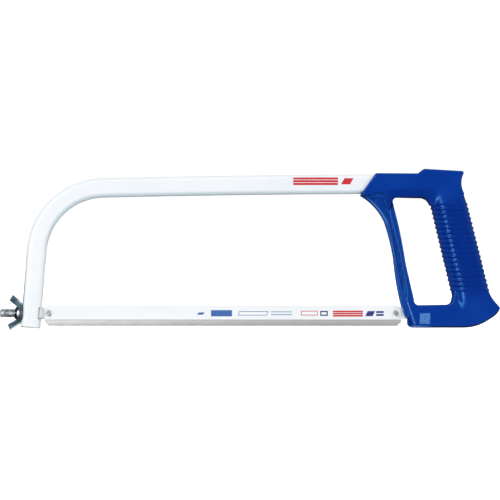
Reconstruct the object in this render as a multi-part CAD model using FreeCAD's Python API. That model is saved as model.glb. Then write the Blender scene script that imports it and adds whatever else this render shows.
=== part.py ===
"""A hacksaw: a bent tube frame, a cast handle, a 12 inch blade on two pins, and a stud and wing nut that tension it.

Millimetres, +Z up, +X towards the handle. The teeth point down. The origin is at the middle of the saw's
length and thickness, level with its lowest point. The middle plane of the frame is Y = 0, and the blade
lies on the -Y side of the two lugs that hold it.
"""
import FreeCAD, Part
import math
import os

V = FreeCAD.Vector
Y_AXIS = V(0, 1, 0)

# Blade: a sprung steel back with a hard tooth strip welded along its lower edge.
HOLE_PITCH = 300.0
HOLE_MID_X = -23.8
BLADE_Z = 15.0  # the height of both blade holes and of the stud's axis
HOLE_RADIUS = 2.55
BLADE_THICKNESS = 0.64
BLADE_FRONT_MARGIN = 3.9  # from a hole's centre to the end of the blade
BLADE_REAR_MARGIN = 5.0
BLADE_CORNER = 5.0
BACK_TOP = 22.1
BACK_BOTTOM = 9.5
TEETH_BOTTOM = 3.5
TOOTH_STRIP_CHAMFER = 4.0
LUG_GAP = 0.05  # between a lug's side and the blade

# Frame tube: a leg that leans, one bend, a top run with a slight crown, and a straight end in the handle.
TUBE_DEPTH = 16.8
TUBE_THICKNESS = 10.5
TUBE_WALL = 1.4
TUBE_CORNER = 4.0
LEG_LEAN = 4.6
LEG_END = V(-190.1, 0, 2.35)
LEG_STRAIGHT = 67.25
BEND_RADIUS = 59.0
BEND_TURN = 84.05
CROWN_RADIUS = 11560.0
CROWN_TURN = 1.1
SOCKET_RUN = 54.0

# Tension stud: a 5/16-18 thread, a square shank that keys it in the leg, and a flat tang with the front blade pin.
STUD_RADIUS = 3.9
STUD_TIP_X = -216.4
STUD_CHAMFER = 0.9
TANG_HEIGHT = 10.2
TANG_THICKNESS = 3.0
TANG_END_X = -168.6
SHANK_THICKNESS = 7.2
SHANK_START_X = -193.0
SHANK_END_X = -180.2
SLOT_THICKNESS = 9.8  # the slot in the leg cuts its rounded corners, so that the shank is seen from the side
SLOT_START_X = -184.2
KEY_CLEARANCE = 0.15

# Pins that hold the blade. At rest each one bears on the outer side of its hole.
PIN_RADIUS = 1.8
PIN_TIP_Y = -4.6
PIN_CHAMFER = 0.5
PIN_SEAT = 0.7  # from a hole's centre to its pin's centre

# Wing nut: it beds flat on the leaning leg, so its axis is square to the leg.
NUT_AXIS_OFFSET = 3.0  # how far up the nut its axis crosses the stud's
NUT_BORE_RADIUS = 4.3
NUT_BASE_RADIUS = 6.6
NUT_BASE_HEIGHT = 2.0
NUT_HUB_RADIUS = 5.5
NUT_HUB_TOP_RADIUS = 5.1
NUT_HEIGHT = 5.8
NUT_WING_THICKNESS = 3.0
NUT_GAP = 0.04

# Rear lug: a steel plate in a slot of the handle, on a cross pin.
LUG_HEIGHT = 10.4
LUG_THICKNESS = 3.0
LUG_START_X = 120.2
LUG_END_X = 153.0
LUG_PIN_X = 146.5
LUG_PIN_RADIUS = 2.0
LUG_PIN_FRONT_Y = -4.0

# Handle: one casting.
COLLAR_HALF = 8.0
STRUT_HALF = 6.6
FOOT_HALF = 8.0
CHANNEL_FLOOR = 4.6
HOLLOW_FLOOR = 5.9
FOOT_NOSE_X = 134.6  # where the narrowing of the foot starts, 30 mm up
FOOT_NOSE_SLOPE = 0.34
GRIP_HALF = 11.7
RIB_PROUD = 0.9  # at the front and the rear of the grip
RIB_PROUD_SIDE = 0.45
RIB_COUNT = 19
RIB_PITCH = 4.12
RIB_TOP_Z = 109.6
RIB_BASE = 1.25  # half the width of a rib where it leaves the grip
RIB_CREST = 0.35  # half the width of its crest
RIVET_XS = (118.0, 138.0)
RIVET_RADIUS = 2.0
RIVET_HEAD_RADIUS = 4.0
RIVET_HEAD_HEIGHT = 1.5
RIVET_CLEARANCE = 0.05

FRONT_HOLE_X = HOLE_MID_X - HOLE_PITCH / 2
REAR_HOLE_X = HOLE_MID_X + HOLE_PITCH / 2
FRONT_PIN_X = FRONT_HOLE_X - PIN_SEAT
REAR_PIN_X = REAR_HOLE_X + PIN_SEAT


def xz(point):
    """A point of the XZ plane."""
    return V(point[0], 0, point[1])


def outline(start, *steps):
    """A closed wire in the XZ plane. A step is (end,) for a straight line or (via, end) for an arc."""
    edges = []
    here = start
    for step in steps:
        end = step[-1]
        if len(step) == 1:
            edges.append(Part.LineSegment(xz(here), xz(end)).toShape())
        else:
            edges.append(Part.Arc(xz(here), xz(step[0]), xz(end)).toShape())
        here = end
    return Part.Wire(edges)


def plate(wire, y_low, y_high):
    """The wire, which lies in the XZ plane, as a solid from y_low to y_high."""
    face = Part.Face(wire)
    face.translate(V(0, y_low, 0))
    return face.extrude(V(0, y_high - y_low, 0))


def rod(radius, start, end, chamfer=0.0):
    """A round bar from start to end, with its end chamfered."""
    axis = end - start
    bar = Part.makeCylinder(radius, axis.Length, start, axis)
    if not chamfer:
        return bar
    tip = [e for e in bar.Edges if (e.CenterOfMass - end).Length < 1e-6]
    return bar.makeChamfer(chamfer, tip)


def block(x_low, x_high, y_low, y_high, z_low, z_high):
    """A box between the given limits."""
    return Part.makeBox(x_high - x_low, y_high - y_low, z_high - z_low, V(x_low, y_low, z_low))


def soften(solid, radius, half):
    """Rounds the edges of a plate's two flat sides, at Y = -half and Y = half."""
    rims = [e for e in solid.Edges if all(abs(abs(v.Y) - half) < 1e-6 for v in e.Vertexes)]
    return solid.makeFillet(radius, rims)


# ---- frame tube ----


def tube_path():
    """The tube's centre line, from the open end of the leg to the end in the handle."""
    heading = 90.0 - LEG_LEAN
    here = LEG_END
    edges = []
    for length, radius, turn in (
        (LEG_STRAIGHT, 0, 0),
        (0, BEND_RADIUS, BEND_TURN),
        (0, CROWN_RADIUS, CROWN_TURN),
        (SOCKET_RUN, 0, 0),
    ):
        if turn:
            centre = here + radius * direction(heading - 90.0)
            middle = centre + radius * direction(heading - turn / 2 + 90.0)
            end = centre + radius * direction(heading - turn + 90.0)
            edges.append(Part.Arc(here, middle, end).toShape())
            heading -= turn
        else:
            end = here + length * direction(heading)
            edges.append(Part.LineSegment(here, end).toShape())
        here = end
    return Part.Wire(edges)


def direction(angle):
    """The unit vector of the XZ plane at this angle above +X."""
    return V(math.cos(math.radians(angle)), 0, math.sin(math.radians(angle)))


def tube_section(depth, thickness, corner):
    """A rounded rectangle across the start of the tube's path."""
    across = direction(-LEG_LEAN)
    half_d = depth / 2
    half_t = thickness / 2
    inset = corner * (1 - math.sqrt(0.5))

    def at(d, t):
        return LEG_END + d * across + t * Y_AXIS

    edges = []
    for sd, st, nd, nt in ((1, 1, -1, 1), (-1, 1, -1, -1), (-1, -1, 1, -1), (1, -1, 1, 1)):
        flat_in_d = sd != nd
        corner_mid = at(sd * (half_d - inset), st * (half_t - inset))
        if flat_in_d:
            corner_from = at(sd * half_d, st * (half_t - corner))
            corner_to = at(sd * (half_d - corner), st * half_t)
            flat_to = at(nd * (half_d - corner), nt * half_t)
        else:
            corner_from = at(sd * (half_d - corner), st * half_t)
            corner_to = at(sd * half_d, st * (half_t - corner))
            flat_to = at(nd * half_d, nt * (half_t - corner))
        edges.append(Part.Arc(corner_from, corner_mid, corner_to).toShape())
        edges.append(Part.LineSegment(corner_to, flat_to).toShape())
    return Part.Wire(edges)


def swept(depth, thickness, corner):
    """The rounded rectangle carried along the tube's path."""
    section = tube_section(depth, thickness, corner)
    return tube_path().makePipeShell([section], True, False)


def tube_outside():
    return swept(TUBE_DEPTH, TUBE_THICKNESS, TUBE_CORNER)


def keyed_hole():
    """What the stud needs clear of the leg: a round hole in its outer wall, and a slot in its inner one."""
    round_hole = rod(STUD_RADIUS + KEY_CLEARANCE, V(STUD_TIP_X, 0, BLADE_Z), V(LEG_END.x, 0, BLADE_Z))
    height = TANG_HEIGHT / 2 + KEY_CLEARANCE
    side = SLOT_THICKNESS / 2
    slot = block(SLOT_START_X, TANG_END_X, -side, side, BLADE_Z - height, BLADE_Z + height)
    return [round_hole, slot]


def rivet_holes():
    """Clearance for the rivets through the back of the collar and of the tube."""
    radius = RIVET_RADIUS + RIVET_CLEARANCE
    return [rod(radius, V(x, 0, rivet_z(x)), V(x, COLLAR_HALF + 1, rivet_z(x))) for x in RIVET_XS]


def rivet_z(x):
    """The height of the tube's centre line at x, inside the collar."""
    end = tube_path().Edges[-1]
    first = end.Vertexes[0].Point
    last = end.Vertexes[-1].Point
    return first.z + (last.z - first.z) * (x - first.x) / (last.x - first.x)


def frame_tube():
    inner_depth = TUBE_DEPTH - 2 * TUBE_WALL
    inner_thickness = TUBE_THICKNESS - 2 * TUBE_WALL
    bore = swept(inner_depth, inner_thickness, TUBE_CORNER - TUBE_WALL)
    return tube_outside().cut([bore] + keyed_hole() + rivet_holes())


# ---- handle ----


def collar():
    """The box that holds the end of the tube, with its raised rear half."""
    wire = outline(
        (95.4, 117.0),
        ((108.1, 135.0),),
        ((109.0, 136.0), (110.6, 136.3)),
        ((145.6, 136.1),),
        ((150.2, 139.6),),
        ((151.0, 140.0), (152.0, 140.0)),
        ((182.9, 138.2),),
        ((184.6, 137.6), (184.9, 136.0)),
        ((183.0, 128.8), (185.9, 118.0)),
        ((170.0, 104.0),),
        ((155.8, 108.5),),
        ((152.9, 112.9), (147.5, 114.7)),
        ((127.2, 115.1),),
        ((124.6, 114.0), (123.5, 111.2)),
        ((122.4, 106.0),),
        ((117.0, 102.6),),
        ((108.6, 111.0), (95.4, 117.0)),
    )
    return soften(plate(wire, -COLLAR_HALF, COLLAR_HALF), 1.6, COLLAR_HALF)


def strut():
    """The curved front bar of the handle, and the pockets in its two sides."""
    bar = outline(
        (95.4, 117.0),
        ((109.8, 104.9), (116.6, 94.1)),
        ((121.2, 78.5), (124.5, 62.9)),
        ((126.5, 45.0), (131.1, 22.2)),
        ((134.0, 12.0),),
        ((139.6, 12.0),),
        ((142.0, 27.4),),
        ((134.4, 60.2),),
        ((130.25, 83.7), (124.9, 106.0)),
        ((122.6, 116.0),),
        ((98.0, 117.5),),
        ((95.4, 117.0),),
    )
    # A long channel between a thin front flange and a broad rear one.
    channel = outline(
        (134.0, 26.2),
        ((132.2, 29.0),),
        ((127.2, 58.0), (121.2, 91.0)),
        ((115.4, 103.6), (102.6, 115.2)),
        ((116.6, 115.0),),
        ((119.4, 108.0), (120.8, 101.0)),
        ((128.4, 72.0), (136.2, 30.2)),
        ((134.0, 26.2),),
    )
    # A shallow hollow at its top, under the collar.
    hollow = outline(
        (98.6, 117.2),
        ((105.6, 117.4), (110.4, 119.6)),
        ((114.6, 118.8), (117.4, 115.2)),
        ((120.0, 108.0), (120.8, 101.0)),
        ((117.6, 98.2),),
        ((110.8, 108.2), (98.6, 117.2)),
    )
    pockets = []
    for wire, floor in ((channel, CHANNEL_FLOOR), (hollow, HOLLOW_FLOOR)):
        pockets.append(plate(wire, -COLLAR_HALF, -floor))
        pockets.append(plate(wire, floor, COLLAR_HALF))
    return plate(bar, -STRUT_HALF, STRUT_HALF), pockets


def foot():
    """The lower bar, from the lug's socket to the tip of the heel, narrowed towards the lug."""
    wire = outline(
        (140.4, 2.6),
        ((137.6, 3.7), (136.6, 6.8)),
        ((136.2, 12.0), (133.3, 18.6)),
        ((131.4, 22.4),),
        ((130.8, 26.0),),
        ((142.0, 27.4),),
        ((143.3, 23.4), (146.8, 21.9)),
        ((170.6, 22.3),),
        ((173.8, 23.7), (175.2, 27.0)),
        ((177.0, 36.0),),
        ((206.0, 36.0),),
        ((208.6, 30.0), (212.6, 24.4)),
        ((216.0, 20.6),),
        ((216.4, 19.6), (216.1, 18.4)),
        ((213.0, 14.0), (208.2, 10.5)),
        ((197.5, 4.8), (184.0, 2.6)),
        ((140.4, 2.6),),
    )
    bar = soften(plate(wire, -FOOT_HALF, FOOT_HALF), 1.6, FOOT_HALF)
    return bar.cut([foot_wedge(side) for side in (1, -1)])


def foot_wedge(side):
    """What one side of the foot loses in front of a sloping line that runs down and to the rear."""
    corners = [V(FOOT_NOSE_X - 12, side * (FOOT_HALF - 7.5), 30.0), V(FOOT_NOSE_X, side * FOOT_HALF, 30.0)]
    corners.append(V(FOOT_NOSE_X - 12, side * FOOT_HALF, 30.0))
    top = Part.makePolygon(corners + corners[:1])
    return Part.Face(top).extrude(V(30.0 * FOOT_NOSE_SLOPE, 0, -30.0))


def oval(z, x_front, x_rear, half):
    """A level ellipse between two X values."""
    long_half = (x_rear - x_front) / 2
    centre = V((x_rear + x_front) / 2, 0, z)
    if long_half > half:
        curve = Part.Ellipse(centre + V(long_half, 0, 0), centre + half * Y_AXIS, centre)
    else:
        curve = Part.Ellipse(centre + half * Y_AXIS, centre - V(long_half, 0, 0), centre)
    return Part.Wire([curve.toShape()])


# The grip's level sections: height, front, rear and half thickness. It is straight between the middle two.
GRIP_SECTIONS = (
    (131.0, 154.0, 183.0, 6.6),
    (125.0, 155.4, 183.4, 7.9),
    (117.5, 155.6, 185.6, 10.0),
    (111.5, 156.1, 187.6, GRIP_HALF),
    (33.5, 174.6, 207.4, GRIP_HALF),
    (26.0, 175.6, 208.2, 11.5),
    (17.0, 176.6, 206.6, 10.2),
    (10.0, 178.6, 202.0, 7.2),
)


def grip():
    """The oval grip and the heel, without the ribs."""
    top, straight, heel = GRIP_SECTIONS[:4], GRIP_SECTIONS[3:5], GRIP_SECTIONS[4:]
    spans = [Part.makeLoft([oval(*s) for s in part], True, False) for part in (top, straight, heel)]
    return spans[0].fuse(spans[1:])


def ribs():
    """Level rings round the straight part of the grip."""
    high, low = GRIP_SECTIONS[3], GRIP_SECTIONS[4]

    def ring(z, share):
        down = (high[0] - z) / (high[0] - low[0])
        front, rear = (high[i] + down * (low[i] - high[i]) for i in (1, 2))
        proud = share * RIB_PROUD
        return oval(z, front - proud, rear + proud, GRIP_HALF + share * RIB_PROUD_SIDE)

    rings = []
    for index in range(RIB_COUNT):
        z = RIB_TOP_Z - index * RIB_PITCH
        levels = ((-RIB_BASE, -0.25), (-RIB_CREST, 1.0), (RIB_CREST, 1.0), (RIB_BASE, -0.25))
        rings.append(Part.makeLoft([ring(z + dz, share) for dz, share in levels], True, True))
    return rings


def lug_slot():
    """The socket for the rear lug, and the blind hole for its cross pin."""
    half = LUG_THICKNESS / 2
    slot = block(
        LUG_START_X, LUG_END_X, -half, half, BLADE_Z - LUG_HEIGHT / 2, BLADE_Z + LUG_HEIGHT / 2
    )
    return [slot, lug_pin_rod()]


def handle():
    bar, channels = strut()
    body = collar().fuse([bar, foot(), grip()] + ribs())
    return body.cut(channels + [tube_outside()] + rivet_holes() + lug_slot())


# ---- small parts ----


def collar_rivets():
    """Two blind rivets in the back of the collar, each with its set end inside the tube."""
    inner_face = TUBE_THICKNESS / 2 - TUBE_WALL
    rivets = []
    for x in RIVET_XS:
        z = rivet_z(x)
        shank = rod(RIVET_RADIUS, V(x, inner_face - 2.2, z), V(x, COLLAR_HALF, z))
        set_end = rod(RIVET_RADIUS + 0.8, V(x, inner_face - 2.2, z), V(x, inner_face, z))
        head = Part.makeSphere(5.6, V(x, COLLAR_HALF + RIVET_HEAD_HEIGHT - 5.6, z), Y_AXIS)
        head = head.common(rod(RIVET_HEAD_RADIUS, V(x, COLLAR_HALF, z), V(x, COLLAR_HALF + 3, z)))
        rivets.append(shank.fuse([set_end, head]))
    return Part.makeCompound(rivets)


def lug_pin_rod():
    return rod(LUG_PIN_RADIUS, V(LUG_PIN_X, LUG_PIN_FRONT_Y, BLADE_Z), V(LUG_PIN_X, FOOT_HALF, BLADE_Z))


def blade_pin(x):
    """A pin through a lug, with a chamfered end that the blade hooks on."""
    return rod(PIN_RADIUS, V(x, TANG_THICKNESS / 2, BLADE_Z), V(x, PIN_TIP_Y, BLADE_Z), PIN_CHAMFER)


def rear_lug():
    half_h = LUG_HEIGHT / 2
    half_t = LUG_THICKNESS / 2
    wire = outline(
        (LUG_START_X + half_h, BLADE_Z + half_h),
        ((LUG_END_X, BLADE_Z + half_h),),
        ((LUG_END_X, BLADE_Z - half_h),),
        ((LUG_START_X + half_h, BLADE_Z - half_h),),
        ((LUG_START_X, BLADE_Z), (LUG_START_X + half_h, BLADE_Z + half_h)),
    )
    return plate(wire, -half_t, half_t).cut([blade_pin(REAR_PIN_X), lug_pin_rod()])


def tension_stud():
    half_h = TANG_HEIGHT / 2
    half_t = TANG_THICKNESS / 2
    wire = outline(
        (SHANK_START_X, BLADE_Z + half_h),
        ((TANG_END_X - half_h, BLADE_Z + half_h),),
        ((TANG_END_X, BLADE_Z), (TANG_END_X - half_h, BLADE_Z - half_h)),
        ((SHANK_START_X, BLADE_Z - half_h),),
        ((SHANK_START_X, BLADE_Z + half_h),),
    )
    tang = plate(wire, -half_t, half_t)
    side = SHANK_THICKNESS / 2
    shank = block(SHANK_START_X, SHANK_END_X, -side, side, BLADE_Z - half_h, BLADE_Z + half_h)
    thread = rod(STUD_RADIUS, V(SHANK_START_X + 1, 0, BLADE_Z), V(STUD_TIP_X, 0, BLADE_Z), STUD_CHAMFER)
    return thread.fuse([shank, tang]).cut(blade_pin(FRONT_PIN_X))


def wing_nut():
    """The nut is drawn with its axis along +Z and its wings along X, then stood against the leg."""
    base = Part.makeCylinder(NUT_BASE_RADIUS, NUT_BASE_HEIGHT)
    hub_height = NUT_HEIGHT - NUT_BASE_HEIGHT
    hub = Part.makeCone(NUT_HUB_RADIUS, NUT_HUB_TOP_RADIUS, hub_height, V(0, 0, NUT_BASE_HEIGHT))
    solids = [hub]
    for side in (1, -1):
        wire = outline(
            (side * 3.9, 0.3),
            ((side * 8.0, 0.3),),
            ((side * 9.0, 0.4), (side * 9.7, 1.1)),
            ((side * 15.1, 8.3),),
            ((side * 15.5, 8.9), (side * 15.2, 9.5)),
            ((side * 11.0, 11.5),),
            ((side * 10.3, 11.6), (side * 9.9, 11.0)),
            ((side * 5.6, 4.9),),
            ((side * 5.0, 4.4), (side * 3.9, 4.4)),
            ((side * 3.9, 0.3),),
        )
        solids.append(plate(wire, -NUT_WING_THICKNESS / 2, NUT_WING_THICKNESS / 2))
    nut = base.fuse(solids).cut(Part.makeCylinder(NUT_BORE_RADIUS, NUT_HEIGHT))
    nut.Placement = FreeCAD.Placement(nut_base_centre(), FreeCAD.Rotation(Y_AXIS, -90.0 + LEG_LEAN))
    return nut


def nut_base_centre():
    """The middle of the nut's bearing face."""
    outward = -1 * direction(-LEG_LEAN)
    up_leg = direction(90.0 - LEG_LEAN)
    face = LEG_END + (TUBE_DEPTH / 2 + NUT_GAP) * outward
    crossing_x = -NUT_AXIS_OFFSET
    # Along the leg, from its end to where the nut's axis meets the face.
    rise = (BLADE_Z - face.z + crossing_x * outward.z) / up_leg.z
    return face + rise * up_leg


def blade_back():
    front = FRONT_HOLE_X - BLADE_FRONT_MARGIN
    rear = REAR_HOLE_X + BLADE_REAR_MARGIN
    bend = BLADE_CORNER * (1 - math.sqrt(0.5))
    wire = outline(
        (front, BACK_BOTTOM),
        ((front, BACK_TOP - BLADE_CORNER),),
        ((front + bend, BACK_TOP - bend), (front + BLADE_CORNER, BACK_TOP)),
        ((rear - BLADE_CORNER, BACK_TOP),),
        ((rear - bend, BACK_TOP - bend), (rear, BACK_TOP - BLADE_CORNER)),
        ((rear, BACK_BOTTOM),),
        ((front, BACK_BOTTOM),),
    )
    near, far = blade_sides()
    holes = [rod(HOLE_RADIUS, V(x, near, BLADE_Z), V(x, far, BLADE_Z)) for x in (FRONT_HOLE_X, REAR_HOLE_X)]
    return plate(wire, near, far).cut(holes)


def blade_sides():
    """The Y of the blade's outer side and of its inner side."""
    inner = -TANG_THICKNESS / 2 - LUG_GAP
    return inner - BLADE_THICKNESS, inner


def blade_tooth_strip():
    front = FRONT_HOLE_X - BLADE_FRONT_MARGIN
    rear = REAR_HOLE_X + BLADE_REAR_MARGIN
    chamfer_z = TEETH_BOTTOM + TOOTH_STRIP_CHAMFER
    wire = outline(
        (front, BACK_BOTTOM),
        ((rear, BACK_BOTTOM),),
        ((rear, chamfer_z),),
        ((rear - TOOTH_STRIP_CHAMFER, TEETH_BOTTOM),),
        ((front + TOOTH_STRIP_CHAMFER, TEETH_BOTTOM),),
        ((front, chamfer_z),),
        ((front, BACK_BOTTOM),),
    )
    return plate(wire, *blade_sides())


PARTS = {
    "frame_tube": frame_tube,
    "handle": handle,
    "collar_rivets": collar_rivets,
    "rear_lug": rear_lug,
    "rear_lug_pin": lug_pin_rod,
    "rear_blade_pin": lambda: blade_pin(REAR_PIN_X),
    "tension_stud": tension_stud,
    "front_blade_pin": lambda: blade_pin(FRONT_PIN_X),
    "wing_nut": wing_nut,
    "blade_back": blade_back,
    "blade_tooth_strip": blade_tooth_strip,
}

os.makedirs("parts", exist_ok=True)
for name, make in PARTS.items():
    shape = make()
    shape.exportStep(os.path.join("parts", name + ".step"))
    low = shape.BoundBox
    print(f"{name:18s} solids {len(shape.Solids)} valid {shape.isValid()} volume {shape.Volume:9.1f}"
          f"  X {low.XMin:8.2f} {low.XMax:8.2f}  Y {low.YMin:7.2f} {low.YMax:7.2f}  Z {low.ZMin:7.2f} {low.ZMax:7.2f}")
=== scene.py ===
import math

import bmesh
import bpy
import numpy as np
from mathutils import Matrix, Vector


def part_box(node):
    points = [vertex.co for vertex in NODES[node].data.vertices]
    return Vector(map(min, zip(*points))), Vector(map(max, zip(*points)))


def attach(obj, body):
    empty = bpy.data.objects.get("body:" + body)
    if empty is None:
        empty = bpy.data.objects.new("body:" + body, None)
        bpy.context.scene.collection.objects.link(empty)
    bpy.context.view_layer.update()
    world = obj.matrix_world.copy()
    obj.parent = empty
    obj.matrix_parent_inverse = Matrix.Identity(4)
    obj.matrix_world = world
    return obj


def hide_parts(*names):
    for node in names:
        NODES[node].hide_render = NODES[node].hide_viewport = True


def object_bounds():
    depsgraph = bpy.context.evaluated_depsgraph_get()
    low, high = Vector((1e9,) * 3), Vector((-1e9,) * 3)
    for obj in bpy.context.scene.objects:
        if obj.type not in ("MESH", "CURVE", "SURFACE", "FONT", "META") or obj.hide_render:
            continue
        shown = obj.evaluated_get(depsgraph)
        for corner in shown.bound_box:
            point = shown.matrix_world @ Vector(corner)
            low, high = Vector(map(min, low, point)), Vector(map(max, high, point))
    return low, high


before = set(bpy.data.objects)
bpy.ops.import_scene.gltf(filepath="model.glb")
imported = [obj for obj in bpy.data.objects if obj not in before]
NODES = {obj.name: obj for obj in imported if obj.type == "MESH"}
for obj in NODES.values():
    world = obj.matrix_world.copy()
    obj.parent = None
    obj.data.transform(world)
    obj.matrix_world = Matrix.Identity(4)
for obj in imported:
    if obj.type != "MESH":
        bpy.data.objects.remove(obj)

cad_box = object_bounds()
MM = 0.001
INCH = 0.0254


# ---- building node materials ----


def put(tree, kind, inputs=None, **settings):
    """Adds a node, sets its settings and its inputs (a value or another node's output), and returns it."""
    node = tree.nodes.new("ShaderNode" + kind)
    for key, value in settings.items():
        setattr(node, key, value)
    for key, value in (inputs or {}).items():
        if isinstance(value, bpy.types.NodeSocket):
            tree.links.new(value, node.inputs[key])
        else:
            node.inputs[key].default_value = value
    return node


def calc(tree, operation, a, b=0.0, c=0.0):
    return put(tree, "Math", {0: a, 1: b, 2: c}, operation=operation).outputs[0]


def rgb(red, green, blue):
    """A linear colour from 0 to 255 display values."""
    channels = [c / 255 for c in (red, green, blue)]
    return [c / 12.92 if c <= 0.04045 else ((c + 0.055) / 1.055) ** 2.4 for c in channels] + [1.0]


def new_material(name, **shader_values):
    """A material with one Principled shader, and the object's own coordinates in metres."""
    material = bpy.data.materials.new(name)
    material.use_nodes = True
    tree = material.node_tree
    shader = tree.nodes["Principled BSDF"]
    for key, value in shader_values.items():
        shader.inputs[key.replace("_", " ")].default_value = value
    place = put(tree, "TexCoord").outputs["Object"]
    return material, tree, shader, place


def noise(tree, place, size, detail=2.0, roughness=0.5, stretch=(1, 1, 1)):
    """Noise whose features are about size metres across, longer along an axis with a large stretch."""
    scaled = put(tree, "Mapping", {"Vector": place, "Scale": [1 / s for s in stretch]}).outputs[0]
    settings = {"Vector": scaled, "Scale": 0.6 / size, "Detail": detail, "Roughness": roughness}
    return put(tree, "TexNoise", settings).outputs["Fac"]


def span(tree, value, low, high, to_low=0.0, to_high=1.0):
    """Value from low..high carried to to_low..to_high, and clamped."""
    settings = {"Value": value, "From Min": low, "From Max": high, "To Min": to_low, "To Max": to_high}
    return put(tree, "MapRange", settings).outputs[0]


def blend_colour(tree, share, first, second, how="MIX"):
    node = put(tree, "Mix", data_type="RGBA", blend_type=how)
    for key, value in ((0, share), (6, first), (7, second)):
        if isinstance(value, bpy.types.NodeSocket):
            tree.links.new(value, node.inputs[key])
        else:
            node.inputs[key].default_value = value
    return node.outputs[2]


def bumps(tree, shader, *layers):
    """Each layer is (height socket, depth in metres); they are added up into the shader's normal."""
    normal = None
    for height, depth in layers:
        inputs = {"Height": height, "Distance": depth, "Strength": 1.0}
        if normal:
            inputs["Normal"] = normal
        normal = put(tree, "Bump", inputs).outputs[0]
    tree.links.new(normal, shader.inputs["Normal"])


def wear(tree, place, size, amount):
    """A mask of small irregular spots, the same scale in every direction."""
    coarse = noise(tree, place, size * 6, 3)
    fine = noise(tree, place, size, 4, 0.7)
    mixed = calc(tree, "MULTIPLY_ADD", coarse, 0.6, calc(tree, "MULTIPLY", fine, 0.4))
    return span(tree, mixed, 0.72 - amount, 0.78 - amount)


# ---- materials ----

WHITE = rgb(243, 247, 250)
INK_RED = rgb(204, 22, 40)
INK_BLUE = rgb(40, 96, 172)
INK_NAVY = rgb(22, 40, 126)


def white_powder_coat():
    material, tree, shader, place = new_material("white_powder_coat", Coat_Weight=0.25, Coat_Roughness=0.12)
    cloud = noise(tree, place, 30 * MM, 3)
    colour = blend_colour(tree, span(tree, cloud, 0.35, 0.65), WHITE, rgb(238, 243, 248))
    dust = span(tree, wear(tree, place, 0.7 * MM, 0.02), 0, 1, 0, 0.25)
    colour = blend_colour(tree, dust, colour, rgb(205, 210, 214))
    # Painted shade: the rounded lower edge, facing down, is painted a darker blue-grey, standing in for how
    # light falls there.
    down = put(tree, "SeparateXYZ", {0: put(tree, "TexCoord").outputs["Normal"]}).outputs[2]
    colour = blend_colour(tree, span(tree, down, -0.35, -0.03, 1.0, 0.0), colour, rgb(218, 232, 240))
    colour = printed(tree, place, colour, TUBE_MARKS)
    colour = cut_end(tree, place, colour)
    tree.links.new(colour, shader.inputs["Base Color"])
    rough = noise(tree, place, 5 * MM, 3)
    tree.links.new(span(tree, rough, 0.3, 0.7, 0.3, 0.42), shader.inputs["Roughness"])
    peel = noise(tree, place, 0.9 * MM, 1)
    wave = noise(tree, place, 6 * MM, 1)
    bumps(tree, shader, (wave, 0.05 * MM), (peel, 0.012 * MM))
    return material


def along(tree, place, origin, axis):
    """How far a point lies from an origin along an axis."""
    from_origin = put(tree, "VectorMath", {0: place, 1: tuple(origin)}, operation="SUBTRACT").outputs[0]
    return put(tree, "VectorMath", {0: from_origin, 1: tuple(axis)}, operation="DOT_PRODUCT").outputs["Value"]


# The middle of the leg's cut end, and the way up the leg.
CUT_END = Vector((-190.1, 0, 2.35)) * MM
UP_LEG = Vector((0.0802, 0, 0.9968))
ACROSS_LEG = Vector((0.9968, 0, -0.0802))


def cut_end(tree, place, colour):
    """A painted shadow: a dark band along the lip of the leg's open end, most of it at the front."""
    up = along(tree, place, CUT_END, UP_LEG)
    ragged = calc(tree, "MULTIPLY_ADD", noise(tree, place, 1.5 * MM, 2), 0.4 * MM, up)
    lip = span(tree, ragged, 0.9 * MM, 1.5 * MM, 1.0, 0.0)
    share = span(tree, along(tree, place, CUT_END, ACROSS_LEG), -7 * MM, 7 * MM, 0.95, 0.45)
    return blend_colour(tree, calc(tree, "MULTIPLY", lip, share), colour, rgb(118, 116, 110))


def within(tree, value, low, high, edge):
    """1 where the value is between low and high, with soft edges."""
    off_middle = calc(tree, "ABSOLUTE", calc(tree, "SUBTRACT", value, (low + high) / 2))
    half = (high - low) / 2
    return span(tree, off_middle, half - edge, half + edge, 1.0, 0.0)


def overlap(tree, *masks):
    """The product of masks: 1 only where all of them are 1."""
    product = masks[0]
    for mask in masks[1:]:
        product = calc(tree, "MULTIPLY", product, mask)
    return product


def tint(tree, colour, shade, *masks):
    """Lays a shade over the colour where all the masks overlap."""
    return blend_colour(tree, overlap(tree, *masks), colour, shade)


# The arc of the strut's front edge below the collar.
ARC_CENTRE = (70.3 * MM, 0, 72.5 * MM)
ARC_RADIUS = 51.1 * MM


# The round of the heel, seen from the side, and how far out from its middle the painted shade starts.
HEEL_CENTRE_X = 184 * MM
HEEL_CENTRE_Z = 45.1 * MM
SHADE_RADIUS = 41.0 * MM


def grip_and_collar_shades(tree, colour, x, depth, z):
    """The grip's faces along its ribs are a deeper blue; the collar's lower half is painted darker, a painted
    shade; the grip's front and rear are painted paler, a painted sheen.
    """
    grip_faces = span(tree, depth, 6.5 * MM, 9.5 * MM)
    colour = tint(tree, colour, rgb(2, 41, 132), grip_faces, within(tree, z, 31 * MM, 113 * MM, 8 * MM))
    # Painted shade: the collar's lower half is painted darker, where its lower edge rounds under.
    collar_length = within(tree, x, 120 * MM, 160 * MM, 6 * MM)
    low_half = within(tree, z, 110 * MM, 122.5 * MM, 1.5 * MM)
    half_strength = calc(tree, "MULTIPLY", overlap(tree, collar_length, low_half), 0.6)
    colour = tint(tree, colour, rgb(2, 38, 124), half_strength)
    # Painted sheen: the grip's front and rear, which turn away from the side, are painted paler.
    on_grip = span(tree, x, 152 * MM, 158 * MM)
    front_and_rear = span(tree, depth, 3.5 * MM, 8.0 * MM, 0.8, 0.0)
    return tint(tree, colour, rgb(34, 68, 138), on_grip, front_and_rear, span(tree, z, 30 * MM, 34 * MM))


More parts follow.
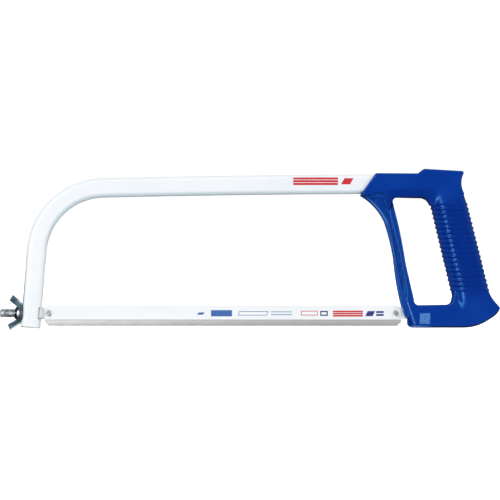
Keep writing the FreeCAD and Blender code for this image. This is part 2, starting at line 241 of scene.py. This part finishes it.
def strut_shades(tree, colour, place, fine, x, depth, z):
    """On the strut, painted light and shade: the channel's floor is painted pale and streaky, its walls dark,
    and its sharp edges carry painted highlights.
    """
    wavy = calc(tree, "MULTIPLY_ADD", fine, 0.5 * MM, depth)
    recessed = span(tree, depth, 6.9 * MM, 7.2 * MM, 1.0, 0.0)
    on_strut = overlap(tree, span(tree, x, 141 * MM, 142 * MM, 1.0, 0.0), recessed)
    colour = tint(tree, colour, rgb(10, 58, 148), on_strut)
    # Painted shade: the channel's walls are painted dark, where the recess is shaded.
    on_walls = within(tree, wavy, 5.35 * MM, 6.4 * MM, 0.15 * MM)
    below_slope = span(tree, z, 108 * MM, 112 * MM, 1.0, 0.0)
    colour = tint(tree, colour, rgb(1, 30, 98), on_strut, on_walls, below_slope)
    # Under the collar the channel ends in a slope, painted lighter against the shade on it, with a painted
    # shadow line round its top.
    before_grip = span(tree, x, 125 * MM, 127 * MM, 1.0, 0.0)
    on_slope = span(tree, z, 110 * MM, 112 * MM)
    colour = tint(tree, colour, rgb(15, 68, 160), before_grip, on_slope, recessed)
    line_depth = within(tree, wavy, 6.8 * MM, 8.1 * MM, 0.15 * MM)
    line_height = within(tree, z, 106 * MM, 122 * MM, 1 * MM)
    colour = tint(tree, colour, rgb(2, 22, 84), before_grip, line_height, line_depth)
    # Painted light: the channel's floor is painted pale, with brighter streaks, against the shade of the
    # channel.
    streaks = noise(tree, place, 1.8 * MM, 3, 0.6, (1, 1, 6))
    floor_blue = blend_colour(tree, span(tree, streaks, 0.48, 0.62), rgb(9, 57, 144), rgb(26, 84, 170))
    on_floor = span(tree, wavy, 4.95 * MM, 5.2 * MM, 1.0, 0.0)
    colour = tint(tree, colour, floor_blue, on_strut, on_floor)
    # Painted highlights: the strut's sharp edges are painted pale blue.
    sharp = put(tree, "NewGeometry").outputs["Pointiness"]
    worn_and_lit_edges = span(tree, calc(tree, "MULTIPLY_ADD", fine, 0.03, sharp), 0.518, 0.545, 0.0, 0.75)
    below_collar = span(tree, z, 109 * MM, 112 * MM, 0.6, 0.0)
    return tint(tree, colour, rgb(58, 112, 196), worn_and_lit_edges, on_strut, below_collar)


def flange_highlight(tree, colour, place, fine, x, z):
    """A painted highlight along the inner edge of the strut's front flange, round the arc under the collar.
    """
    from_centre = put(tree, "VectorMath", {0: place, 1: ARC_CENTRE}, operation="SUBTRACT").outputs[0]
    flat = put(tree, "VectorMath", {0: from_centre, 1: (1, 0, 1)}, operation="MULTIPLY").outputs[0]
    radius = put(tree, "VectorMath", {0: flat}, operation="LENGTH").outputs["Value"]
    inside = calc(tree, "MULTIPLY_ADD", fine, 0.4 * MM, calc(tree, "SUBTRACT", radius, ARC_RADIUS))
    edge = within(tree, inside, 1.3 * MM, 2.0 * MM, 0.25 * MM)
    length = within(tree, z, 84 * MM, 115 * MM, 5 * MM)
    return tint(tree, colour, rgb(92, 148, 222), edge, length, span(tree, x, 118 * MM, 120 * MM, 0.75, 0.0))


def foot_highlights(tree, colour, fine, x, z):
    """Painted highlights down the ridge of the foot's nose and along the foot's bottom edge in front."""
    from_ridge = calc(tree, "SUBTRACT", calc(tree, "MULTIPLY_ADD", z, 0.34, x), 144.8 * MM)
    on_ridge = within(tree, from_ridge, -0.7 * MM, 0.3 * MM, 0.2 * MM)
    ridge = overlap(tree, on_ridge, within(tree, z, 6 * MM, 27 * MM, 2 * MM))
    sole_height = within(tree, z, 3.3 * MM, 4.3 * MM, 0.3 * MM)
    sole = overlap(tree, sole_height, span(tree, x, 150 * MM, 158 * MM, 0.9, 0.0))
    patchy = span(tree, fine, 0.35, 0.55, 0.25, 0.9)
    return tint(tree, colour, rgb(104, 146, 200), calc(tree, "MAXIMUM", ridge, sole), patchy)


def handle_painted_shade(tree, colour, fine, x, z):
    """Painted shade along the foot's bottom edge and up the round of the heel, and a painted shadow under the
    collar.
    """
    # Painted shade: the foot's bottom edge and the heel's round are painted dark.
    behind = calc(tree, "MAXIMUM", calc(tree, "SUBTRACT", x, HEEL_CENTRE_X), 0.0)
    above = calc(tree, "SUBTRACT", z, HEEL_CENTRE_Z)
    squares = calc(tree, "MULTIPLY_ADD", behind, behind, calc(tree, "MULTIPLY", above, above))
    out = calc(tree, "SQRT", squares)
    ragged = calc(tree, "MULTIPLY_ADD", fine, 0.6 * MM, out)
    edge = span(tree, ragged, SHADE_RADIUS, SHADE_RADIUS + 0.7 * MM, 0.0, 0.9)
    low = span(tree, z, 18 * MM, 24 * MM, 1.0, 0.0)
    colour = tint(tree, colour, rgb(30, 32, 44), edge, low, span(tree, x, 150 * MM, 162 * MM))
    # Painted shadow: a dark line under the collar, behind the strut.
    behind_strut = within(tree, x, 132 * MM, 152 * MM, 4 * MM)
    under = overlap(tree, behind_strut, within(tree, z, 112 * MM, 116.2 * MM, 0.4 * MM))
    return tint(tree, colour, rgb(24, 28, 62), calc(tree, "MULTIPLY", under, 0.7))


def blue_casting_paint():
    """Thick blue paint, with painted light and shade on the strut's levels, painted highlights on its ridges
    and painted shade on its underside.
    """
    material, tree, shader, place = new_material(
        "blue_casting_paint", Specular_IOR_Level=0.6, Specular_Tint=rgb(110, 190, 255))
    cloud = noise(tree, place, 14 * MM, 3)
    fine = noise(tree, place, 1.6 * MM, 3)
    colour = blend_colour(tree, span(tree, cloud, 0.3, 0.7), rgb(7, 51, 146), rgb(10, 57, 153))
    parts = put(tree, "SeparateXYZ", {0: place})
    x, z = parts.outputs[0], parts.outputs[2]
    depth = calc(tree, "ABSOLUTE", parts.outputs[1])
    colour = grip_and_collar_shades(tree, colour, x, depth, z)
    colour = strut_shades(tree, colour, place, fine, x, depth, z)
    colour = flange_highlight(tree, colour, place, fine, x, z)
    colour = foot_highlights(tree, colour, fine, x, z)
    colour = handle_painted_shade(tree, colour, fine, x, z)
    specks = wear(tree, place, 0.35 * MM, -0.01)
    colour = tint(tree, colour, rgb(8, 30, 92), span(tree, specks, 0, 1, 0, 0.2))
    colour = printed(tree, place, colour, HANDLE_MARKS, 1.2 * MM, 0.3)
    tree.links.new(colour, shader.inputs["Base Color"])
    rough = noise(tree, place, 4 * MM, 3)
    tree.links.new(span(tree, rough, 0.3, 0.7, 0.18, 0.27), shader.inputs["Roughness"])
    cast = noise(tree, place, 3.5 * MM, 2)
    peel = noise(tree, place, 0.8 * MM, 1)
    bumps(tree, shader, (cast, 0.025 * MM), (peel, 0.006 * MM))
    return material


# The wing nut's axis, and the point of it 3 mm from the leg.
NUT_POINT = Vector((-200.56, 0, 15.0)) * MM
NUT_AXIS = Vector((-0.9968, 0, 0.0802))


def nut_highlights_and_shade(tree, place, colour):
    """Painted highlights on the wings' outer sides and on a band round the hub, and painted shade in the
    mouth of its thread.
    """
    out = calc(tree, "ADD", along(tree, place, NUT_POINT, NUT_AXIS), 3 * MM)
    up = along(tree, place, NUT_POINT, UP_LEG)
    radial = calc(tree, "ABSOLUTE", up)
    ragged = calc(tree, "MULTIPLY_ADD", noise(tree, place, 1.2 * MM, 3), 0.8 * MM, radial)
    # A wing's outer side runs from 9.7 mm off the axis and 1.1 mm out, by 4 across for each 3 further out.
    # The painted highlight on the upper wing's rim is only near its root.
    from_side = calc(tree, "SUBTRACT", calc(tree, "MULTIPLY", ragged, 0.8), calc(tree, "MULTIPLY", out, 0.6))
    rim = span(tree, from_side, 5.9 * MM, 6.5 * MM, 0.0, 0.85)
    colour = tint(tree, colour, rgb(214, 222, 226), rim, span(tree, up, 10.0 * MM, 12.0 * MM, 1.0, 0.0))
    # Painted highlight: a bright band round the hub.
    from_band = calc(tree, "ABSOLUTE", calc(tree, "SUBTRACT", out, 2.9 * MM))
    band = span(tree, from_band, 0.4 * MM, 0.8 * MM, 1.0, 0.0)
    middle = span(tree, radial, 2.0 * MM, 2.9 * MM, 1.0, 0.0)
    colour = tint(tree, colour, rgb(252, 252, 253), band, middle)
    # Painted shade: a dark ring at the mouth of the thread.
    mouth = span(tree, radial, 5.2 * MM, 5.6 * MM, 1.0, 0.0)
    return tint(tree, colour, rgb(14, 20, 30), span(tree, out, 4.2 * MM, 4.6 * MM), mouth)


def slot_shadow(tree, place, colour):
    """A painted shadow on the stud's square shank, along the front and the bottom of the slot it slides in.
    """
    parts = put(tree, "SeparateXYZ", {0: place})
    x, z = parts.outputs[0], parts.outputs[2]
    leaning = calc(tree, "MULTIPLY", calc(tree, "SUBTRACT", z, 9.9 * MM), 0.12)
    line = span(tree, calc(tree, "SUBTRACT", leaning, x), 182.4 * MM, 183.3 * MM, 0.0, 0.75)
    in_slot = span(tree, x, -179.5 * MM, -178.5 * MM, 1.0, 0.0)
    bottom = overlap(tree, span(tree, z, 10.4 * MM, 11.0 * MM, 0.8, 0.0), in_slot)
    return tint(tree, colour, rgb(112, 132, 144), calc(tree, "MAXIMUM", line, bottom))


def socket_shadow(tree, place, colour):
    """A painted shadow on the lug where it goes into the handle."""
    parts = put(tree, "SeparateXYZ", {0: place})
    from_edge = calc(tree, "MULTIPLY_ADD", parts.outputs[2], 0.45, parts.outputs[0])
    ragged = calc(tree, "MULTIPLY_ADD", noise(tree, place, 1.5 * MM, 3), 3 * MM, from_edge)
    return tint(tree, colour, rgb(74, 92, 112), span(tree, ragged, 141.5 * MM, 143.0 * MM, 0.0, 0.75))


def plated_steel(name, pale, deep, low_rough, high_rough, metal, edge_wear, painted_light_on=None):
    """Zinc plate: patches of two shades, fine scratches, dull spots, and paler edges where it is worn."""
    material, tree, shader, place = new_material(name, Metallic=metal)
    patches = noise(tree, place, 2.5 * MM, 4, 0.6)
    colour = blend_colour(tree, span(tree, patches, 0.35, 0.65), deep, pale)
    dull = wear(tree, place, 0.25 * MM, 0.04)
    colour = tint(tree, colour, [c * 0.5 for c in deep[:3]] + [1], span(tree, dull, 0, 1, 0, 0.5))
    sharp = put(tree, "NewGeometry").outputs["Pointiness"]
    ragged = calc(tree, "MULTIPLY_ADD", patches, 0.04, sharp)
    worn_and_lit_edges = span(tree, ragged, 0.53, 0.57, 0.0, edge_wear)
    colour = tint(tree, colour, rgb(236, 240, 242), worn_and_lit_edges)
    # Painted light and shade, laid on by the given function, where the material has one.
    if painted_light_on:
        colour = painted_light_on(tree, place, colour)
    tree.links.new(colour, shader.inputs["Base Color"])
    grain = noise(tree, place, 0.12 * MM, 2, 0.5, (14, 1, 1))
    tree.links.new(span(tree, grain, 0.3, 0.7, low_rough, high_rough), shader.inputs["Roughness"])
    bumps(tree, shader, (patches, 0.03 * MM), (grain, 0.006 * MM))
    return material


def blade_paint():
    material, tree, shader, place = new_material("blade_paint", Coat_Weight=0.1, Coat_Roughness=0.2)
    cloud = noise(tree, place, 12 * MM, 3, 0.5, (4, 1, 1))
    colour = blend_colour(tree, span(tree, cloud, 0.3, 0.7), rgb(246, 249, 251), rgb(236, 241, 244))
    colour = printed(tree, place, colour, BLADE_MARKS)
    tree.links.new(colour, shader.inputs["Base Color"])
    rough = noise(tree, place, 2 * MM, 3)
    tree.links.new(span(tree, rough, 0.3, 0.7, 0.32, 0.48), shader.inputs["Roughness"])
    roll = noise(tree, place, 0.5 * MM, 2, 0.5, (30, 1, 1))
    bumps(tree, shader, (roll, 0.008 * MM))
    return material


def bare_blade_steel():
    """Ground steel: a dark weld line on top, darker towards the teeth, and darker towards the handle."""
    material, tree, shader, place = new_material("bare_blade_steel", Metallic=0.4)
    patches = noise(tree, place, 3 * MM, 4, 0.6, (3, 1, 1))
    colour = blend_colour(tree, span(tree, patches, 0.3, 0.7), rgb(206, 207, 205), rgb(220, 220, 217))
    parts = put(tree, "SeparateXYZ", {0: place})
    x, z = parts.outputs[0], parts.outputs[2]
    darker_to_handle = span(tree, x, -140 * MM, 20 * MM, 0.0, 0.55)
    colour = tint(tree, colour, rgb(184, 186, 185), darker_to_handle)
    low = span(tree, calc(tree, "MULTIPLY_ADD", patches, 0.8 * MM, z), 4.6 * MM, 7.8 * MM, 0.75, 0.0)
    colour = tint(tree, colour, rgb(166, 167, 166), low)
    weld = span(tree, z, 8.9 * MM, 9.3 * MM, 0.0, 0.8)
    colour = tint(tree, colour, rgb(156, 158, 160), weld)
    tree.links.new(colour, shader.inputs["Base Color"])
    grind = noise(tree, place, 0.1 * MM, 2, 0.5, (60, 1, 1))
    tree.links.new(span(tree, grind, 0.3, 0.7, 0.34, 0.55), shader.inputs["Roughness"])
    bumps(tree, shader, (grind, 0.01 * MM))
    return material


# Printed marks. Each is a slanted box of the side that faces -Y: its ink, its left and right edge along the
# part, its lower and upper edge, how far its top leans, and the width of its line (0 is filled).
BLADE_LOW, BLADE_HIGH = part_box("blade_back")
TUBE_LOW, TUBE_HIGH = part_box("frame_tube")
HANDLE_LOW, HANDLE_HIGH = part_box("handle")


def marks_along(start, z_low, *marks):
    """Marks in millimetres from a start point, carried to the frame."""
    placed = []
    for ink, left, right, low, high, lean, line in marks:
        placed.append((ink, start + left * MM, start + right * MM, z_low + low * MM, z_low + high * MM,
                       lean * MM, line * MM))
    return placed


BLADE_MARKS = marks_along(
    BLADE_LOW.x, BLADE_LOW.z,
    (INK_BLUE, 132.0, 137.1, 4.2, 6.2, 1.5, 0),
    (INK_BLUE, 144.1, 162.3, 2.8, 8.2, 0, 0),
    (INK_BLUE, 167.1, 192.3, 3.6, 7.2, 1.5, 0.5),
    (INK_BLUE, 196.1, 214.1, 6.4, 7.0, 0, 0),
    (INK_BLUE, 196.1, 214.1, 4.0, 4.6, 0, 0),
    (INK_RED, 222.1, 236.5, 3.6, 7.6, 0, 0.6),
    (INK_NAVY, 238.7, 245.3, 3.2, 7.6, 0, 1.1),
    (INK_RED, 249.7, 275.7, 2.6, 4.1, 0, 0),
    (INK_RED, 249.7, 275.7, 4.5, 5.9, 0, 0),
    (INK_RED, 249.7, 275.7, 6.3, 7.8, 0, 0),
    (INK_NAVY, 277.7, 284.1, 3.0, 7.4, 2.2, 0),
    (INK_NAVY, 287.1, 293.7, 5.7, 7.4, 0, 0),
    (INK_NAVY, 287.1, 293.7, 3.2, 4.9, 0, 0),
)
TUBE_MARKS = marks_along(
    TUBE_LOW.x, TUBE_HIGH.z,
    (INK_RED, 236.0, 274.8, -4.6, -2.8, 0, 0),
    (INK_RED, 236.0, 274.8, -7.0, -5.1, 0, 0),
    (INK_RED, 236.0, 274.8, -9.4, -7.5, 0, 0),
    (INK_RED, 277.4, 285.2, -8.8, -3.4, 3.0, 0),
)
# The pale patch on the foot.
HANDLE_MARKS = marks_along(
    HANDLE_LOW.x, HANDLE_LOW.z,
    (rgb(78, 132, 196), 51.4, 60.4, 3.4, 12.6, 0, 0),
)


INK_BLUR = 0.06 * MM


def past_edge(tree, value, low, high):
    """How far the value lies outside low..high, and less than 0 inside."""
    off_middle = calc(tree, "ABSOLUTE", calc(tree, "SUBTRACT", value, (low + high) / 2))
    return calc(tree, "SUBTRACT", off_middle, (high - low) / 2)


def printed(tree, place, colour, marks, flake=0.35 * MM, least=0.8):
    """Lays the marks over the colour, on faces towards -Y only, worn in flakes to the least strength."""
    parts = put(tree, "SeparateXYZ", {0: place})
    x, z = parts.outputs[0], parts.outputs[2]
    normal = put(tree, "SeparateXYZ", {0: put(tree, "TexCoord").outputs["Normal"]}).outputs[1]
    faces_viewer = calc(tree, "LESS_THAN", normal, -0.9)
    worn = span(tree, noise(tree, place, flake, 3), 0.52, 0.72, 1.0, least)
    ink_strength = calc(tree, "MULTIPLY", faces_viewer, worn)
    for ink, left, right, low, high, lean, line in marks:
        rise = calc(tree, "DIVIDE", calc(tree, "SUBTRACT", z, low), high - low)
        straight_x = calc(tree, "SUBTRACT", x, calc(tree, "MULTIPLY", rise, lean))
        off_x = past_edge(tree, straight_x, left, right)
        off_z = past_edge(tree, z, low, high)
        outside = calc(tree, "MAXIMUM", off_x, off_z)
        mask = span(tree, outside, -INK_BLUR, INK_BLUR, 1.0, 0.0)
        if line:
            hole = span(tree, outside, -line - INK_BLUR, -line + INK_BLUR, 1.0, 0.0)
            mask = calc(tree, "SUBTRACT", mask, hole)
        colour = tint(tree, colour, ink, mask, ink_strength)
    return colour


# ---- building meshes ----


def link(piece):
    bpy.context.scene.collection.objects.link(piece)
    return piece


def shade_smooth(mesh):
    mesh.polygons.foreach_set("use_smooth", [True] * len(mesh.polygons))


def remade(node, name, *modifiers):
    """A new piece from a CAD node's mesh, with modifiers applied. Each modifier is (kind, settings)."""
    piece = link(bpy.data.objects.new(name, NODES[node].data.copy()))
    piece.data.materials.clear()
    for kind, settings in modifiers:
        modifier = piece.modifiers.new(kind.lower(), kind)
        for key, value in settings.items():
            setattr(modifier, key, value)
    return baked(piece)


def rounding(passes):
    """Smoothing that rounds edges and keeps the size: every inward pass has an outward one after it."""
    steps = []
    for _ in range(passes):
        steps.append(("SMOOTH", {"factor": 0.5, "iterations": 2}))
        steps.append(("SMOOTH", {"factor": -0.52, "iterations": 2}))
    return steps


def baked(piece):
    """Applies a piece's modifiers."""
    mesh = bpy.data.meshes.new_from_object(piece.evaluated_get(bpy.context.evaluated_depsgraph_get()))
    piece.modifiers.clear()
    piece.data = mesh
    shade_smooth(mesh)
    return piece


def fade(values, low, high, edge):
    """1 between low and high, falling to 0 over the edge inside them."""
    return np.clip(np.minimum(values - low, high - values) / edge, 0.0, 1.0)


# The grip's middle line in millimetres: it leans back from the top rib down. Above that rib the middle is the
# collar's, and under the lowest rib it is the heel's.
TOP_RIB_X = 171.8
TOP_RIB_Z = 111.5
GRIP_LEAN = 0.2372
COLLAR_MIDDLE_X = 168.6
HEEL_MIDDLE_X = 191.6


def cast_handle():
    """The handle as a casting: the CAD shape on a fine even mesh, its edges rounded by thick paint."""
    voxels = ("REMESH", {"mode": "VOXEL", "voxel_size": 0.45 * MM})
    softened = ("SMOOTH", {"factor": 0.5, "iterations": 3})
    piece = remade("handle", "handle_casting", voxels, softened, *rounding(2))
    # The grip flows into the collar above its ribs and into the heel below them.
    points = np.empty(len(piece.data.vertices) * 3)
    piece.data.vertices.foreach_get("co", points)
    x = points[0::3] / MM
    z = points[2::3] / MM
    middle = np.maximum(TOP_RIB_X - GRIP_LEAN * (z - TOP_RIB_Z), COLLAR_MIDDLE_X)
    above = fade(z, 111.2, 132.0, 3.0) * fade(x - middle, -15.0, 14.0, 3.0)
    below = fade(z, 8.0, 27.0, 3.0) * fade(x - HEEL_MIDDLE_X, -15.0, 13.0, 3.0)
    tenths = np.rint(10 * np.maximum(above, below))
    flow = piece.vertex_groups.new(name="flow")
    for tenth in range(1, 11):
        flow.add(np.flatnonzero(tenths == tenth).tolist(), tenth / 10, "REPLACE")
    smooth = piece.modifiers.new("flow", "SMOOTH")
    smooth.vertex_group = "flow"
    smooth.factor = 0.5
    smooth.iterations = 300
    return baked(piece)


def forged_nut():
    """The wing nut on a fine even mesh, with its edges rounded as a forging's are."""
    voxels = ("REMESH", {"mode": "VOXEL", "voxel_size": 0.2 * MM})
    softened = ("SMOOTH", {"factor": 0.5, "iterations": 4})
    return remade("wing_nut", "wing_nut_forging", voxels, softened, *rounding(2))


def grid_mesh(name, rows, closed_rows, cap):
    """A mesh over equally long rows of points, closed round each row, and capped at both ends, if asked."""
    count = len(rows[0])
    points = [p for row in rows for p in row]
    faces = []
    for r in range(len(rows) - 1):
        for c in range(count if closed_rows else count - 1):
            d = (c + 1) % count
            faces.append((r * count + c, r * count + d, (r + 1) * count + d, (r + 1) * count + c))
    if cap:
        faces.append(tuple(reversed(range(count))))
        faces.append(tuple((len(rows) - 1) * count + c for c in range(count)))
    mesh = bpy.data.meshes.new(name)
    mesh.from_pydata(points, [], faces)
    mesh.validate()
    return mesh


# The stud's thread is 5/16-18.
THREAD_PITCH = INCH / 18
THREAD_DEPTH = 0.70 * MM
THREAD_RADIUS = 3.88 * MM
THREAD_LENGTH = 23.8 * MM
THREAD_AROUND = 40
THREAD_ALONG = 12


def thread_radius(phase, crest):
    """The radius at a phase from 0 to 1 across one pitch: a crest flat, two flanks and a root flat."""
    from_crest = abs(phase - 0.5) * 2
    fall = min(max((from_crest - 0.15) / 0.70, 0.0), 1.0)
    return crest - THREAD_DEPTH * fall


def threaded_stud():
    """The stud with a real helical thread on its round end. The tang is the CAD one."""
    low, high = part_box("tension_stud")
    axis_z = (low.z + high.z) / 2
    crest = THREAD_RADIUS
    thread_end = low.x + THREAD_LENGTH
    steps = int((thread_end - low.x) / THREAD_PITCH * THREAD_ALONG)
    rows = []
    for step in range(steps + 1):
        x = low.x + (thread_end - low.x) * step / steps
        tip_limit = crest - 1.0 * MM + (x - low.x)
        ring = []
        for k in range(THREAD_AROUND):
            angle = 2 * math.pi * k / THREAD_AROUND
            phase = ((x - low.x) / THREAD_PITCH + k / THREAD_AROUND) % 1.0
            radius = min(thread_radius(phase, crest), tip_limit)
            ring.append((x, radius * math.cos(angle), axis_z + radius * math.sin(angle)))
        rows.append(ring)
    thread = grid_mesh("stud_thread", rows, True, True)
    cutter_mesh = bpy.data.meshes.new("stud_cutter")
    shape = bmesh.new()
    bmesh.ops.create_cube(shape, size=1.0)
    width = 60 * MM
    bmesh.ops.scale(shape, vec=(width, width, width), verts=shape.verts)
    bmesh.ops.translate(shape, vec=(thread_end + width / 2 - 0.3 * MM, 0, axis_z), verts=shape.verts)
    shape.to_mesh(cutter_mesh)
    shape.free()
    cutter = link(bpy.data.objects.new("stud_cutter", cutter_mesh))
    weld = ("WELD", {"merge_threshold": 0.001 * MM})
    tang = remade("tension_stud", "tension_stud_threaded", weld,
                  ("BOOLEAN", {"operation": "INTERSECT", "object": cutter, "solver": "EXACT"}))
    bpy.data.objects.remove(cutter)
    joined = bmesh.new()
    joined.from_mesh(tang.data)
    joined.from_mesh(thread)
    joined.to_mesh(tang.data)
    joined.free()
    return tang


# The teeth: 18 to the inch, with a wavy set.
TOOTH_PITCH = INCH / 18
TOOTH_DEPTH = 0.85 * MM
SET_WAVE = 9 * TOOTH_PITCH
SET_SWING = 0.22 * MM


def toothed_strip():
    """The tooth strip, with raked teeth that swing gently from side to side."""
    low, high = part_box("blade_tooth_strip")
    chamfer = 4.0 * MM
    count = int((high.x - low.x - 2 * chamfer) / TOOTH_PITCH)
    first = (low.x + high.x - count * TOOTH_PITCH) / 2
    profile = [(low.x, low.z + chamfer)]
    for index in range(count):
        x = first + index * TOOTH_PITCH
        profile.append((x, low.z))
        profile.append((x + 0.10 * TOOTH_PITCH, low.z))
        profile.append((x + 0.62 * TOOTH_PITCH, low.z + 0.80 * TOOTH_DEPTH))
        profile.append((x + 0.80 * TOOTH_PITCH, low.z + TOOTH_DEPTH))
        profile.append((x + 0.93 * TOOTH_PITCH, low.z + 0.82 * TOOTH_DEPTH))
    profile.append((first + count * TOOTH_PITCH, low.z))
    profile.append((high.x, low.z + chamfer))
    levels = 6

    def sway(x, z):
        """How far the strip is pushed sideways: nothing at the top, most at the tooth tips."""
        share = min(max((low.z + 2.4 * MM - z) / (2.4 * MM), 0.0), 1.0)
        return SET_SWING * share ** 1.5 * math.sin(2 * math.pi * x / SET_WAVE)

    rows = []
    for side_y, order in ((low.y, range(levels + 1)), (high.y, range(levels, -1, -1))):
        for level in order:
            row = []
            for x, z in profile:
                height = z + (high.z - z) * level / levels
                row.append((x, side_y + sway(x, height), height))
            rows.append(row)
    rows.append(rows[0])
    mesh = grid_mesh("tooth_strip", rows, False, False)
    shape = bmesh.new()
    shape.from_mesh(mesh)
    bmesh.ops.remove_doubles(shape, verts=shape.verts, dist=0.001 * MM)
    bmesh.ops.holes_fill(shape, edges=[e for e in shape.edges if e.is_boundary], sides=0)
    bmesh.ops.recalc_face_normals(shape, faces=shape.faces)
    shape.to_mesh(mesh)
    shape.free()
    return link(bpy.data.objects.new("tooth_strip", mesh))


def finish_piece(piece, body, node, material):
    """Hangs a new piece on its body in place of a CAD node."""
    piece.data.materials.clear()
    piece.data.materials.append(material)
    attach(piece, body)
    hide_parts(node)


def dress(node, material, bevel=0.0):
    """Keeps a CAD node, with its material, and with its edges broken if asked."""
    piece = NODES[node]
    piece.data.materials.clear()
    piece.data.materials.append(material)
    weld = piece.modifiers.new("weld", "WELD")
    weld.merge_threshold = 0.001 * MM
    if bevel:
        edge = piece.modifiers.new("edges", "BEVEL")
        edge.width = bevel
        edge.segments = 3
        edge.limit_method = "ANGLE"
        edge.angle_limit = math.radians(40)
        edge.harden_normals = True


# ---- the saw ----

coat = white_powder_coat()
blue = blue_casting_paint()
bright = (rgb(252, 253, 254), rgb(242, 245, 247), 0.24, 0.42, 0.0, 0.4)
zinc = plated_steel("bright_zinc", *bright, socket_shadow)
stud_zinc = plated_steel("stud_zinc", *bright, slot_shadow)
steel = plated_steel("rolled_thread", rgb(226, 232, 235), rgb(120, 132, 138), 0.26, 0.40, 0.7, 0.3)
pin_steel = plated_steel("dull_pin", rgb(176, 190, 194), rgb(116, 136, 142), 0.3, 0.45, 0.4, 0.5)
dark = plated_steel("dark_zinc", rgb(78, 104, 120), rgb(22, 42, 54), 0.26, 0.44, 0.6, 0.9, nut_highlights_and_shade)

finish_piece(cast_handle(), "frame", "handle", blue)
finish_piece(forged_nut(), "wing_nut", "wing_nut", dark)
stud = threaded_stud()
finish_piece(stud, "tension_stud", "tension_stud", stud_zinc)
stud.data.materials.append(steel)
for face in stud.data.polygons:
    if face.center.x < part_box("tension_stud")[0].x + THREAD_LENGTH - 0.2 * MM:
        face.material_index = 1
finish_piece(toothed_strip(), "blade", "blade_tooth_strip", bare_blade_steel())
dress("frame_tube", coat)
dress("blade_back", blade_paint(), 0.06 * MM)
for node_name in ("collar_rivets", "rear_lug", "rear_lug_pin"):
    dress(node_name, zinc, 0.2 * MM)
for node_name in ("rear_blade_pin", "front_blade_pin"):
    dress(node_name, pin_steel, 0.2 * MM)


# ---- floor, light and camera ----


def floor():
    """A white light table: it is seen, and shadows fall on it, but it throws no light on the saw."""
    material, tree, shader, place = new_material("pale_floor", Roughness=0.7, Emission_Strength=0.7)
    shader.inputs["Emission Color"].default_value = (1, 1, 1, 1)
    cloud = noise(tree, place, 0.4, 2)
    colour = blend_colour(tree, span(tree, cloud, 0.3, 0.7), rgb(250, 250, 250), rgb(254, 254, 254))
    tree.links.new(colour, shader.inputs["Base Color"])
    bpy.ops.mesh.primitive_circle_add(vertices=96, radius=8.0, fill_type="NGON")
    ground = bpy.context.object
    ground.name = "floor"
    ground.data.materials.append(material)
    ground.visible_glossy = False
    ground.visible_diffuse = False
    ground.visible_shadow = False


def sun(name, source, strength, spread):
    """A soft light from the source's direction, spread over this many degrees. It makes no highlights."""
    light = bpy.data.lights.new(name, "SUN")
    light.energy = strength
    light.angle = math.radians(spread)
    lamp = link(bpy.data.objects.new(name, light))
    lamp.rotation_euler = Vector(source).to_track_quat("Z", "Y").to_euler()
    lamp.visible_glossy = False


def strip_light(source, distance, width, height, watts):
    """A tall narrow light that is seen only in reflections."""
    light = bpy.data.lights.new("strip", "AREA")
    light.shape = "RECTANGLE"
    light.size = width
    light.size_y = height
    light.energy = watts
    lamp = link(bpy.data.objects.new("strip", light))
    lamp.location = Vector(source).normalized() * distance + Vector((0.15, 0, 0.07))
    lamp.rotation_euler = Vector(source).to_track_quat("Z", "Y").to_euler()
    lamp.visible_diffuse = False


def sky():
    """White behind the saw, and round it a dark room with a soft light overhead."""
    world = bpy.data.worlds.new("studio")
    world.use_nodes = True
    bpy.context.scene.world = world
    tree = world.node_tree
    tree.nodes.clear()
    direction = put(tree, "TexCoord").outputs["Generated"]
    overhead = put(tree, "VectorMath", {0: direction, 1: (-0.30, -0.10, 0.95)}, operation="DOT_PRODUCT")
    strengths = {"Value": overhead.outputs["Value"], "From Min": 0.2, "From Max": 0.9,
                 "To Min": 0.03, "To Max": 0.6}
    glow = put(tree, "MapRange", strengths, interpolation_type="SMOOTHSTEP").outputs[0]
    room = put(tree, "Background", {"Color": (1, 1, 1, 1), "Strength": glow})
    white = put(tree, "Background", {"Color": (1, 1, 1, 1), "Strength": 1.05})
    seen = put(tree, "LightPath").outputs["Is Camera Ray"]
    room_or_white = put(tree, "MixShader", {0: seen, 1: room.outputs[0], 2: white.outputs[0]})
    output = put(tree, "OutputWorld", {"Surface": room_or_white.outputs[0]})
    output.is_active_output = True


def camera():
    """Square on to the blade's side, from far away, framed with the saw a little above the middle."""
    low, high = cad_box
    data = bpy.data.cameras.new("camera")
    data.lens = 150.0
    data.sensor_width = 36.0
    shot = link(bpy.data.objects.new("camera", data))
    frame_width = 433.15 * MM
    distance = frame_width * data.lens / data.sensor_width
    shot.location = (0.2 * MM, -distance - 2 * MM, 69.8 * MM)
    shot.rotation_euler = (math.radians(90), 0, 0)
    bpy.context.scene.camera = shot


floor()
sky()
sun("key", (-0.50, -0.75, 0.75), 1.35, 25)
sun("fill", (0.70, -0.80, 0.10), 0.70, 40)
sun("bounce", (0.20, -0.80, -0.50), 1.15, 60)
sun("below", (0.0, -0.2, -1.0), 0.45, 60)
sun("back", (0.40, 0.90, 0.35), 1.4, 50)
sun("left_wall", (-1.0, -0.15, 0.0), 0.9, 60)
sun("right_wall", (1.0, -0.15, 0.0), 0.9, 60)
strip_light((-0.54, -0.84, 0.08), 1.5, 0.07, 1.1, 9.5)
camera()
bpy.context.scene.view_settings.view_transform = "Standard"
